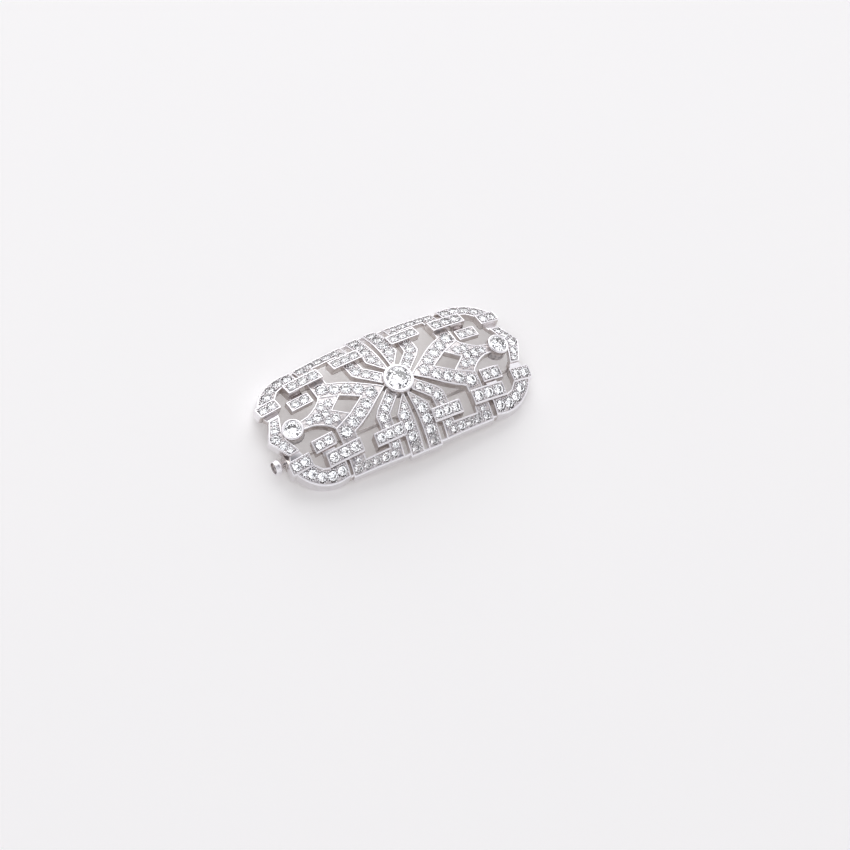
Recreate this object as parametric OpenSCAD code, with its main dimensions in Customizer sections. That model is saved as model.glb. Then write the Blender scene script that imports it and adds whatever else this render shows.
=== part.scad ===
// Domed openwork plaque brooch, pavé set, with three collet-set brilliants and a pin on its back.
// It lies on its back: +X runs along its length, +Y across it, +Z points out of its front.
// The pattern is charted for one quarter of the plaque and mirrored over both axes.

/* [Plaque] */
// Length over the two end bands
plaque_l = 47.1; // [44:0.1:50]
// Radius of the dome along the length
long_r = 74; // [70:1:80]
// Radius of the dome across the width
cross_r = 16.5; // [16:0.1:17.5]
// Thickness of the casting, measured upright
wall_t = 1.5; // [1.3:0.05:1.6]
// Height of the dome's crest over the surface that it lies on
crest_h = 7.2; // [7.1:0.05:7.3]
// Width of the bright rims round each band
rim_w = 0.3; // [0.25:0.01:0.32]
// Depth of the channels that hold the stones
channel_d = 0.6; // [0.55:0.01:0.7]

/* [Height of the bands over the dome] */
// Bent leaves beside the centre
leaf_rise = -0.1; // [-0.3:0.05:0]
// Short bars inside the end openings
short_rise = -0.2; // [-0.3:0.05:0]
// Bars beside the centre
side_bar_rise = 0.5; // [0.3:0.05:0.6]
// Long bars that bridge the pattern
long_bar_rise = 0.7; // [0.5:0.05:0.8]
// Bars at the four corners
corner_bar_rise = 0.5; // [0.3:0.05:0.6]
// Rounded corner pieces
corner_rise = 0.4; // [0.2:0.05:0.5]
// Thin bridges and webs, below the rims
bridge_rise = -0.15; // [-0.3:0.05:-0.1]
// Webs under the long bars, below the short bars' rims
web_rise = -0.8; // [-0.9:0.05:-0.7]
// Plain links between the end bands and the corner bars
link_rise = -0.4; // [-0.5:0.05:-0.3]

/* [Stones] */
// Diameter of the centre stone
centre_d = 4.1; // [3.9:0.05:4.2]
// Diameter of the two end stones
end_d = 2.9; // [2.7:0.05:3]
// Distance of the end stones from the centre
end_stone_x = 19.4; // [19.2:0.05:19.6]
// Width of the centre stone's collet wall
centre_wall = 0.5; // [0.4:0.05:0.6]
// Width of the end stones' collet walls
end_wall = 0.37; // [0.3:0.01:0.4]
// Height of the centre collet over the dome
centre_rise = 0.8; // [0.6:0.05:1]
// Height of the end collets over the dome
end_rise = 0.55; // [0.4:0.05:0.7]
// Facets round each small stone
small_sides = 8; // [8:1:10]
// Facets round each main stone
main_sides = 16; // [12:1:20]

/* [Pin and catch] */
// Distance of the pin from the long axis
pin_y = -3.5; // [-3.7:0.05:-3.4]
// Radius of the pin wire
pin_r = 0.36; // [0.3:0.01:0.38]
// Depth of the pin's axis under the crest
pin_drop = 5.9; // [5.85:0.01:5.95]
// Distance of the hinge from the middle
hinge_x = 20.9; // [20.8:0.05:21]
// Radius of the hinge ears and the pin's eye
ear_r = 0.9; // [0.8:0.01:0.95]
// Radius of the catch tube
tube_r = 0.72; // [0.65:0.01:0.75]
// Radius of the round knob on the catch tube
knob_r = 1.27; // [1.1:0.01:1.28]
// Running gap between separate pieces
gap = 0.08; // [0.06:0.01:0.1]

/* [Hidden] */
$fn = 72;
chart_l = 47.1;
u = plaque_l / chart_l;
major_r = long_r - cross_r;
top_z = crest_h + 2;
end_x = plaque_l / 2;
knob_x = 22.7 * u;
knob_t = 1.5;
dish_r = 0.75 * knob_r;
dish_d = 0.5;
shift_x = (knob_x + knob_t - end_x) / 2;
pin_z = crest_h - pin_drop;
ear_t = 0.5;
eye_r = ear_r - 0.05;
eye_w = 0.7;

// Outlines of the bands in one quarter, counter-clockwise, in millimetres of the chart.
// Where two bands meet, one reaches a rim's width under the other, so they share one rim.
lap = 0.3;
split_bar = [[0.24, 2.4], [0.75, 2.45], [2.95, 5.2], [2.95, 11.5], [0.42, 11.5]];
leaf = [[2.4, 0.41], [5.6, 3.16], [6.3, 4.1], [6.35, 6.5 + lap], [3.95, 6.5 + lap],
        [3.85, 4.6], [1.35, 2.28]];
side_bar = [[2.95 - lap, 6.5], [8.1, 6.5], [8.1, 8.6], [2.95 - lap, 8.6]];
border = [[3.95, 8.6 - lap], [6.1, 8.6 - lap], [6.1, 9.05], [10.35, 9.05], [10.35, 8.3 - lap],
          [13.15, 8.3 - lap], [13.15, 10.75], [3.95, 11.12]];
long_bar = [[10.35, 6.05], [16.6, 6.05], [16.6, 8.3], [10.35, 8.3]];
short_bar = [[13.75, 3], [17.6, 3], [17.6, 5.2], [13.75, 5.2]];
corner_bar = [[18.8, 4.5], [22.2, 4.5], [22.5, 4.8], [22.5, 6.5], [22.2, 6.8], [18.8, 6.8]];
corner_centre = [15.5, 3.4];
corner_r = 7.2;
corner_steps = 6;
corner_piece = concat(
    [[13.75, 8.3 - lap], [16.6, 8.3 - lap], [17.7, 7.65], [18.8, 6.8 - lap]],
    [for (i = [0:corner_steps])
        let (a = asin((6.8 - lap - corner_centre[1]) / corner_r))
        corner_centre + corner_r * aim(a + (90 - a) * i / corner_steps)],
    [[13.75, 10.45]]);

// Bands that cross the long axis: the half over the axis, from right to left
arrow_half = [[13.15, 3.05], [13.15, 6.05 + lap], [10.35, 6.05 + lap], [10.35, 4.85],
              [8.7, 4.15], [7, 3.2], [5, 1.78], [2.35, 0]];
arrow_inner = [[7.05, 0], [9.85, 1.72]];
chevron_half = [[17.9, 0.8], [16.2, 1], [15.2, 1.4], [14.3, 1.95], [13.4, 2.7],
                [13.15 - 0.1, 3.05 + 0.27], [9.6, 1.93], [12.07, 0]];
end_band_half = [[23.55, 0], [21.65, 3.5], [19.75, 3.5], [20.25, 2.2], [20.75, 0.9]];

// Plain link from an end band to a corner bar
end_link = [[21.5, 3.5 - 0.2], [22, 4.5 + lap], [19.2, 4.5 + lap], [19.8, 3.5 - 0.2]];

// Plain bridges that close the gaps at the outline, and the web behind each short bar
bridges = [
    [[-0.6, 11.1], [0.6, 11.1], [0.6, 11.45], [-0.6, 11.45]],
    [[2.8, 10.76], [4.1, 10.76], [4.1, 11.08], [2.8, 11.08]],
    [[13, 10.1], [13.9, 10.1], [13.9, 10.42], [13, 10.42]]];
web = [[14.2, 5], [16.4, 5], [16.4, 6.2], [14.2, 6.2]];

// Small stones of one quarter: x, y, diameter, rise of the band that holds them
STONE_X = 0;
STONE_Y = 1;
STONE_D = 2;
STONE_RISE = 3;
quarter_stones = [
    [1.68, 10.5, 1.6, 0], [1.68, 8.98, 1.6, 0], [1.68, 7.36, 1.6, 0],
    [1.66, 5.64, 1.6, 0], [1.13, 4.32, 1.0, 0],
    [3.8, 7.55, 1.5, side_bar_rise], [5.4, 7.55, 1.5, side_bar_rise],
    [7, 7.55, 1.5, side_bar_rise],
    [2.9, 2.24, 1.4, leaf_rise], [4.06, 3.36, 1.4, leaf_rise],
    [5.12, 4.68, 1.5, leaf_rise], [5.2, 5.98, 0.8, leaf_rise],
    [5, 9.1, 1.1, 0], [5.6, 10.1, 1.0, 0], [7.1, 10.03, 1.42, 0],
    [8.72, 9.98, 1.42, 0], [10.36, 9.95, 1.4, 0], [12.05, 9.86, 1.42, 0],
    [11.7, 8.85, 0.8, 0],
    [6.6, 1.42, 1.65, 0], [8.25, 2.38, 1.7, 0], [9.95, 3.25, 1.7, 0], [11.75, 4.2, 1.75, 0],
    [13.5, 1.38, 1.2, 0], [12.15, 1.4, 1.25, 0],
    [19.9, 5.65, 1.5, corner_bar_rise], [21.45, 5.65, 1.48, corner_bar_rise],
    [14.87, 4.1, 1.45, short_rise], [16.47, 4.1, 1.45, short_rise],
    [11.6, 7.18, 1.65, long_bar_rise], [13.5, 7.18, 1.65, long_bar_rise],
    [15.4, 7.18, 1.65, long_bar_rise],
    [14.88, 9.3, 1.55, corner_rise], [16.6, 9.3, 1.6, corner_rise],
    [18.25, 8.75, 1.55, corner_rise], [19.55, 7.75, 1.55, corner_rise],
    [20.66, 7.23, 0.7, corner_rise],
    [21.68, 1.52, 1.35, 0], [21.08, 2.66, 1.0, 0]];
// Small stones on the long axis, for one half
axis_stones = [[5, 0, 1.7, 0], [13.35, 0, 1.2, 0], [14.85, 0, 1.4, 0], [16.2, 0, 1.05, 0],
               [22.25, 0, 1.5, 0]];

// A small stone's table radius and heights, as shares of its diameter
small_table = 0.29;
small_crown = 0.14;
small_culet = 0.3;
// A main stone's table radius and heights, as shares of its diameter
main_table = 0.28;
main_crown = 0.15;
main_culet = 0.42;
// Depth of the small stones' girdles under the rims, and of the main stones' under their collets
small_sink = 0.04;
main_sink = 0.12;

function aim(a) = [cos(a), sin(a)];
function unit(v) = v / norm(v);
function left_of(v) = [-v[1], v[0]];
// Corner b of an outline, moved inwards by d from both of its edges
function inset_corner(a, b, c, d) =
    let (m = left_of(unit(b - a)), n = left_of(unit(c - b)))
    b + d * (m + n) / (1 + m * n);
function inset(p, d) =
    let (n = len(p))
    [for (i = [0:n - 1]) inset_corner(p[(i + n - 1) % n], p[i], p[(i + 1) % n], d)];
function flip(p) = [for (i = [len(p) - 1:-1:0]) [p[i][0], -p[i][1]]];
// The whole outline of a band that crosses the long axis
function over_axis(half) = concat(half, flip([for (p = half) if (p[1] != 0) p]));
arrow = concat(over_axis(arrow_half), flip([arrow_inner[1]]), arrow_inner);

// The dome is the outside of a ring whose axis runs along Y, below the part
function ring_at(y, rise) = major_r + sqrt(pow(cross_r + rise, 2) - y * y);
function dome_z(x, y, rise) = crest_h - long_r + sqrt(pow(ring_at(y, rise), 2) - x * x);
function dome_normal(x, y) =
    let (c = sqrt(cross_r * cross_r - y * y) / cross_r,
         r = ring_at(y, 0))
    [c * x / r, y / cross_r, c * sqrt(r * r - x * x) / r];

module quarters() {
    for (right = [0, 1], low = [0, 1]) mirror([right, 0, 0]) mirror([0, low, 0]) children();
}

module halves() {
    for (right = [0, 1]) mirror([right, 0, 0]) children();
}

// Everything under the dome's surface, raised by rise along its normal
module dome(rise) {
    translate([0, 0, crest_h - long_r]) rotate([90, 0, 0])
        rotate_extrude($fn = 360) translate([major_r, 0]) circle(r = cross_r + rise, $fn = 180);
}

// Upright walls over outlines that are drawn in by d: those of one quarter, four times
module walls(outlines, d) {
    linear_extrude(height = top_z) scale(u) quarters()
        for (p = outlines) polygon(d == 0 ? p : inset(p, d));
}

// The same for outlines that cross the long axis, twice
module axis_walls(outlines, d) {
    linear_extrude(height = top_z) scale(u) halves()
        for (p = outlines) polygon(d == 0 ? p : inset(p, d));
}

// Bands of one height: solid up to the dome
module bands(outlines, crossing, rise) {
    intersection() {
        union() {
            walls(outlines, 0);
            axis_walls(crossing, 0);
        }
        dome(rise);
    }
}

// The channels of those bands, cut down from above
module channels(outlines, crossing, rise) {
    difference() {
        union() {
            walls(outlines, rim_w);
            axis_walls(crossing, rim_w);
        }
        dome(rise - channel_d);
    }
}

// Stands its children on the dome at a point of the long axis, +Z along the normal
module on_axis(x, rise) {
    translate([x, 0, dome_z(x, 0, rise)]) rotate([0, asin(x / (long_r + rise)), 0]) children();
}

// A collet: a tube with a bevelled rim, a seat for the girdle and an open back
module collet(stone_d, wall) {
    r = stone_d / 2 + 0.05;
    seat_z = -main_sink - 0.1;
    back_r = r * 0.5;
    floor_z = seat_z - (r - back_r) * 0.86;
    bevel = 0.12;
    rotate_extrude() polygon([
        [back_r, -wall_t - 0.9], [r + wall, -wall_t - 0.9], [r + wall, -bevel],
        [r + wall - bevel, 0], [r, 0], [r, seat_z], [back_r, floor_z]]);
}

module collet_bore(stone_d) {
    translate([0, 0, -4]) cylinder(r = stone_d / 2, h = 6);
}

// The way that the catch tube slides along
module tube_bore() {
    translate([-25, pin_y, pin_z]) rotate([0, 90, 0]) cylinder(r = tube_r + gap, h = 6);
}

// Room for the pin's eye to turn in
module eye_slot() {
    translate([hinge_x, pin_y + eye_w / 2 + gap, pin_z]) rotate([90, 0, 0])
        cylinder(r = eye_r + gap, h = eye_w + 2 * gap);
}

// The hinge ears and their rivet, and the saddle that holds the catch tube
module fittings() {
    under_z = crest_h - 4.5;
    foot_z = pin_z - ear_r;
    for (s = [-1, 1])
        translate([hinge_x, pin_y + s * (eye_w / 2 + gap + ear_t / 2), 0]) {
            translate([-ear_r, -ear_t / 2, pin_z]) cube([2 * ear_r, ear_t, under_z - pin_z]);
            translate([0, ear_t / 2, pin_z]) rotate([90, 0, 0]) cylinder(r = ear_r, h = ear_t);
        }
    translate([hinge_x, pin_y + eye_w / 2 + gap + ear_t, pin_z]) rotate([90, 0, 0])
        cylinder(r = ear_r / 3, h = eye_w + 2 * gap + 2 * ear_t);
    difference() {
        translate([-22.2, pin_y - 1.15, foot_z]) cube([1.9, 2.3, under_z - foot_z]);
        tube_bore();
    }
}

module plate() {
    color("silver") translate([shift_x, 0, 0]) difference() {
        union() {
            difference() {
                union() {
                    bands([split_bar, border], [arrow, over_axis(chevron_half),
                          over_axis(end_band_half)], 0);
                    bands([leaf], [], leaf_rise);
                    bands([short_bar], [], short_rise);
                    bands([side_bar, corner_bar], [], side_bar_rise);
                    bands([long_bar], [], long_bar_rise);
                    bands([corner_piece], [], corner_rise);
                    bands(bridges, [], bridge_rise);
                    bands([web], [], web_rise);
                    bands([end_link], [], link_rise);
                }
                channels([split_bar, border], [arrow, over_axis(chevron_half),
                         over_axis(end_band_half)], 0);
                channels([leaf], [], leaf_rise);
                channels([short_bar], [], short_rise);
                channels([side_bar, corner_bar], [], side_bar_rise);
                channels([long_bar], [], long_bar_rise);
                channels([corner_piece], [], corner_rise);
                on_axis(0, centre_rise) collet_bore(centre_d);
                for (s = [-1, 1]) on_axis(s * end_stone_x, end_rise) collet_bore(end_d);
                translate([0, 0, -wall_t]) dome(0);
                tube_bore();
                eye_slot();
            }
            on_axis(0, centre_rise) collet(centre_d, centre_wall);
            for (s = [-1, 1]) on_axis(s * end_stone_x, end_rise) collet(end_d, end_wall);
            fittings();
        }
    }
}

// The catch: a tube that slides over the pin's point, with the knob that shows past the end.
// The knob is turned like a barrel, and its end is hollowed like a dish.
module catch_tube() {
    end = knob_x + knob_t;
    color("gainsboro") translate([shift_x, pin_y, pin_z]) rotate([0, -90, 0]) difference() {
        union() {
            translate([0, 0, 19.6]) cylinder(r = tube_r, h = knob_x + knob_t / 2 - 19.6);
            rotate_extrude() polygon(concat(
                [for (a = [-90:18:18]) [knob_r * cos(a), end - knob_t * (1 - sin(a)) / 2]],
                [[dish_r + 0.2, end - 0.15], [dish_r + 0.1, end], [dish_r, end],
                 [dish_r - 0.05, end - dish_d], [0, end - dish_d]]));
        }
        translate([0, 0, 19]) cylinder(r = pin_r + gap, h = 3);
    }
}

// The pin: an eye on the hinge's rivet and a straight wire with its point inside the catch
module pin_stem() {
    tip_x = 21.2;
    taper_l = 3;
    color("whitesmoke") translate([shift_x, pin_y, pin_z]) difference() {
        union() {
            translate([hinge_x, eye_w / 2, 0]) rotate([90, 0, 0]) cylinder(r = eye_r, h = eye_w);
            translate([hinge_x - eye_r / 2, 0, 0]) rotate([0, -90, 0]) {
                cylinder(r = pin_r - 0.01, h = hinge_x - eye_r / 2 + tip_x - taper_l);
                translate([0, 0, hinge_x - eye_r / 2 + tip_x - taper_l])
                    cylinder(r1 = pin_r - 0.01, r2 = 0.08, h = taper_l);
            }
        }
        translate([hinge_x, 2, 0]) rotate([90, 0, 0]) cylinder(r = ear_r / 3 + 0.05, h = 4);
    }
}

// A cut stone: table, crown, girdle edge and pavilion, round the normal at a point of the dome
module cut_stone(centre, normal, sides, d, table, crown, culet) {
    across = unit(cross([0, 1, 0], normal));
    along = cross(normal, across);
    function spoke(k, r, h) =
        let (a = 360 * (k + 0.5) / sides)
        centre + r * cos(a) * across + r * sin(a) * along + h * normal;
    tops = [for (k = [0:sides - 1]) spoke(k, table * d, crown * d)];
    edge = [for (k = [0:sides - 1]) spoke(k, d / 2, 0)];
    point = centre - culet * d * normal;
    polyhedron(
        points = concat(tops, edge, [point]),
        faces = concat(
            [[for (k = [sides - 1:-1:0]) k]],
            [for (k = [0:sides - 1]) let (n = (k + 1) % sides) [k, n, sides + n, sides + k]],
            [for (k = [0:sides - 1]) let (n = (k + 1) % sides) [sides + k, sides + n, 2 * sides]]));
}

module small_stone(s, side_x, side_y) {
    x = side_x * s[STONE_X] * u;
    y = side_y * s[STONE_Y] * u;
    n = dome_normal(x, y);
    rise = s[STONE_RISE];
    cut_stone([x, y, dome_z(x, y, rise)] - small_sink * n, n, small_sides, s[STONE_D],
              small_table, small_crown, min(small_culet, (channel_d - small_sink - gap) / s[STONE_D]));
}

module pave(side) {
    color("white") translate([shift_x, 0, 0]) {
        for (s = quarter_stones, low = [-1, 1]) small_stone(s, side, low);
        for (s = axis_stones) small_stone(s, side, 1);
    }
}

module main_stone(x, rise, d) {
    n = dome_normal(x, 0);
    color("aliceblue") translate([shift_x, 0, 0])
        cut_stone([x, 0, dome_z(x, 0, rise)] - main_sink * n, n, main_sides, d,
                  main_table, main_crown, main_culet);
}

module left_pave() { pave(-1); }
module right_pave() { pave(1); }
module centre_stone() { main_stone(0, centre_rise, centre_d); }
module left_end_stone() { main_stone(-end_stone_x, end_rise, end_d); }
module right_end_stone() { main_stone(end_stone_x, end_rise, end_d); }

plate();
catch_tube();
pin_stem();
centre_stone();
left_end_stone();
right_end_stone();
left_pave();
right_pave();
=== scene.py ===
"""Openwork plaque brooch, pavé set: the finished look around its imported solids.

Shapes are worked out in millimetres on the plaque's chart, x along it and y across it, and lifted onto its
dome. Meshes are made in metres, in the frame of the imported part.
"""

import logging
import math
from dataclasses import dataclass
from enum import Enum

import bmesh
import bpy
import numpy as np
from mathutils import Matrix, Vector
from mathutils.geometry import tessellate_polygon


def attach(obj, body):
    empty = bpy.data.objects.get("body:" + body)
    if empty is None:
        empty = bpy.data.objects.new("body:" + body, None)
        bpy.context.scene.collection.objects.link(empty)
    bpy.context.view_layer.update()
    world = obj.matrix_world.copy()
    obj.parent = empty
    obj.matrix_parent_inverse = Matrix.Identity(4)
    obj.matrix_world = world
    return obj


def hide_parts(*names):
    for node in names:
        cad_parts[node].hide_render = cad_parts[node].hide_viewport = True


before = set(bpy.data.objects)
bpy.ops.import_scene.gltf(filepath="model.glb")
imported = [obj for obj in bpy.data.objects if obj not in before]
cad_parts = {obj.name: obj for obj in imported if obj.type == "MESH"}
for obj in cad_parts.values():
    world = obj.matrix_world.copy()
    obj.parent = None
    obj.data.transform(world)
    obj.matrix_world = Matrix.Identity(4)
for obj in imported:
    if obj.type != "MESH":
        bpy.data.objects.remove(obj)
log = logging.getLogger("brooch")

MM = 0.001
SEED = 7

Array = np.ndarray
Material = bpy.types.Material
Node = bpy.types.Node
Tree = bpy.types.NodeTree
Socket = bpy.types.NodeSocket
Feeds = dict[str | int, object]
Pair = tuple[float, float]
Corners = list[Pair]
Triple = tuple[float, float, float]


class Setting(Enum):
    """How a band is finished on top."""

    CHANNEL = "channel cut for stones between two rims"
    PLAIN = "plain rounded bar"


class Mirror(Enum):
    """How often an outline of the chart comes back over the axes."""

    QUARTERS = ((1, 1), (-1, 1), (1, -1), (-1, -1))
    HALVES = ((1, 1), (-1, 1))
    SIDES = ((1, 1), (1, -1))


# Vectors and outlines


def unit(v: Array) -> Array:
    """Vectors of the last axis, each divided by its length."""
    return v / np.linalg.norm(v, axis=-1, keepdims=True)


def circle(steps: int) -> Array:
    """Points (cos a, sin a) of the unit circle, for evenly spaced angles a from 0 on."""
    a = np.arange(steps) * 2 * np.pi / steps
    return np.stack([np.cos(a), np.sin(a)], axis=-1)


def mitred(corners: Array, inset: float) -> Array:
    """Moves a closed outline inwards.

    Each corner moves by inset * left(m + n) / (1 + m.n), with m and n the directions of its two edges.

    Args:
        corners: Counter-clockwise outline, one row a corner.
        inset: Distance from the old edges to the new ones.

    Returns:
        The moved corners.
    """
    m, n = unit(corners - np.roll(corners, 1, axis=0)), unit(np.roll(corners, -1, axis=0) - corners)
    left = np.column_stack([-(m + n)[:, 1], (m + n)[:, 0]])
    return corners + inset * left / (1 + np.sum(m * n, axis=1))[:, None]


def traced(corners: Array, counts: list[int], cut: float, most: float = 0.3) -> Array:
    """Points along an outline whose corners are rounded.

    A corner becomes three points of the curve (1-t)^2 A + 2 t (1-t) C + t^2 B between the points A and B
    that lie a cut before and after it, and an edge has evenly spaced points between two such corners.

    Args:
        corners: Closed outline, one row a corner.
        counts: Points on each edge.
        cut: Length that the rounding takes off each edge.
        most: Largest share of an edge that it may take.

    Returns:
        The outline's points, one row each.
    """
    ahead = np.roll(corners, -1, axis=0) - corners
    length = np.linalg.norm(ahead, axis=1)
    step = ahead / length[:, None]
    out_cut = np.minimum(cut, length * most)
    in_cut = np.roll(out_cut, 1)
    a = corners - np.roll(step, 1, axis=0) * in_cut[:, None]
    b = corners + step * out_cut[:, None]
    t = np.array([0.0, 0.5, 1.0])[None, :, None]
    arcs = (1 - t) ** 2 * a[:, None] + 2 * t * (1 - t) * corners[:, None] + t**2 * b[:, None]
    parts = []
    for bend, start, end, count in zip(arcs, b, np.roll(a, -1, axis=0), counts):
        s = np.linspace(0, 1, count + 2)[1:-1, None]
        parts += [bend, start * (1 - s) + end * s]
    return np.vstack(parts)


def strip_faces(rows: int, columns: int, closed_rows: bool = False) -> Array:
    """Quads between the points of a grid whose columns close into rings.

    Args:
        rows: Rings in the grid.
        columns: Points in each ring.
        closed_rows: Whether the last ring joins the first.

    Returns:
        Point numbers, four a face.
    """
    r = np.arange(rows if closed_rows else rows - 1)[:, None]
    c = np.arange(columns)[None, :]
    n, d = (r + 1) % rows, (c + 1) % columns
    quads = np.stack([r * columns + c, r * columns + d, n * columns + d, n * columns + c], axis=-1)
    return quads.reshape(-1, 4)


def within(outline: Array, spots: Array) -> Array:
    """Which spots lie inside an outline: a line from them to the right crosses it an odd number of times.

    Args:
        outline: Closed outline, one row a point.
        spots: Rows of x and y.

    Returns:
        One truth value a spot.
    """
    px, py = outline.T[..., None]
    qx, qy = np.roll(outline, -1, axis=0).T[..., None]
    x, y = spots.T
    crossing = (qx - px) * (y - py) / np.where(qy == py, 1.0, qy - py) + px
    return np.count_nonzero(((py > y) != (qy > y)) & (x < crossing), axis=0) % 2 == 1


def filled(loops: list[Array]) -> Array:
    """Triangles that fill the first loop of plane points and leave the others open."""
    return np.array(tessellate_polygon([[Vector((*p, 0.0)) for p in loop] for loop in loops]))


def placed(name: str, data: bpy.types.ID, matrix: Array) -> bpy.types.Object:
    """A new object in the scene.

    Args:
        name: Its name.
        data: Its mesh, light or camera.
        matrix: Its place and turn.

    Returns:
        The object.
    """
    made = bpy.data.objects.new(name, data)
    made.matrix_world = Matrix(matrix)
    bpy.context.scene.collection.objects.link(made)
    return made


# The plaque's dome and the pin behind it

CORNER_AT = (15.5, 3.4)
CORNER_R = 7.2


@dataclass(frozen=True)
class Dome:
    """The curved front: the outside of a ring whose axis runs along Y, under the plaque."""

    crest_h: float = 7.2
    long_r: float = 74.0
    cross_r: float = 16.5
    wall_t: float = 1.5
    shift_x: float = 0.325
    rim_from: float = 7.05

    def height(self, xy: Array, rise: float | Array = 0.0) -> Array:
        """Height over the floor: crest - L + sqrt((L - C + sqrt((C + rise)^2 - y^2))^2 - x^2)."""
        ring = self.long_r - self.cross_r + np.sqrt((self.cross_r + rise) ** 2 - xy[..., 1] ** 2)
        return self.crest_h - self.long_r + np.sqrt(ring**2 - xy[..., 0] ** 2)

    def normal(self, xy: Array) -> Array:
        """Outward normals over points of the chart.

        A normal is (c p, q, c sqrt(1 - p^2)), with q = y / C, c = sqrt(1 - q^2) and p = x / (L - C + C c).

        Args:
            xy: Points of the chart.

        Returns:
            One unit vector a point.
        """
        c = np.sqrt(self.cross_r**2 - xy[..., 1] ** 2) / self.cross_r
        p = xy[..., 0] / (self.long_r - self.cross_r + self.cross_r * c)
        return np.stack([c * p, xy[..., 1] / self.cross_r, c * np.sqrt(1 - p**2)], axis=-1)

    def lifted(self, xy: Array, z: Array) -> Array:
        """Points of the chart at the given heights, in the part's frame."""
        return np.concatenate([xy + [self.shift_x, 0.0], z[..., None]], axis=-1)

    def on_front(self, xy: Array, rise: float | Array = 0.0) -> Array:
        """Points on the front, raised by rise."""
        return self.lifted(xy, self.height(xy, rise))

    def on_back(self, xy: Array, up: float = 0.0) -> Array:
        """Points on the back, never below the floor."""
        return self.lifted(xy, np.maximum(self.height(xy) - self.wall_t, 0.0) + up)

    def relieved(self, points: Array) -> Array:
        """Lifts points off the catch's tunnel: z is at least the pin's z + sqrt(r^2 - (y - pin's y)^2).

        Args:
            points: Points in the part's frame.

        Returns:
            The points, lifted.
        """
        room = np.maximum(PIN.tunnel_r**2 - (points[:, 1] - PIN.y) ** 2, 0.0)
        tunnel = np.where((room > 0) & (points[:, 0] < PIN.tunnel_from), PIN.z + np.sqrt(room), 0.0)
        return np.column_stack([points[:, :2], np.maximum(points[:, 2], tunnel)])

    def at_rim(self, points: Array) -> Array:
        """Which points lie on the plaque's outline, whose walls get less painted shade."""
        away = np.maximum(np.abs(points[:, :2] - [self.shift_x, 0.0]) - CORNER_AT, 0.0)
        return np.linalg.norm(away, axis=1) > self.rim_from

    def seat(self, x: float, y: float, rise: float) -> tuple[Array, Array]:
        """Where something stands on the front.

        Args:
            x: Place along the plaque.
            y: Place across it.
            rise: Height over the dome.

        Returns:
            The point, and a matrix whose columns are the directions along, across and out of the front.
        """
        xy = np.array([x, y])
        n = self.normal(xy)
        along = unit(np.cross([0.0, 1.0, 0.0], n))
        return self.on_front(xy, rise), np.stack([along, np.cross(n, along), n], axis=1)


@dataclass(frozen=True)
class PinLine:
    """The straight line of the pin behind the plaque, and the tunnel that its catch needs there."""

    y: float = -3.5
    z: float = 1.3
    hinge_x: float = 20.9
    tunnel_r: float = 0.8
    tunnel_from: float = -19.0

    def at(self, x: float = 0.0) -> Array:
        """The line's point at a place along the plaque, in the part's frame."""
        return np.array([x + DOME.shift_x, self.y, self.z])


DOME = Dome()
PIN = PinLine()

# Axes of pieces on the pin's line, as columns: turned round the hinge's rivet, turned round the pin with
# its point to the left, and cut across the pin.
ROUND_RIVET = np.array([[1.0, 0.0, 0.0], [0.0, 0.0, -1.0], [0.0, 1.0, 0.0]])
ROUND_PIN = np.array([[0.0, 0.0, -1.0], [0.0, 1.0, 0.0], [1.0, 0.0, 0.0]])
ACROSS_PIN = np.array([[0.0, 0.0, 1.0], [1.0, 0.0, 0.0], [0.0, 1.0, 0.0]])


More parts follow.
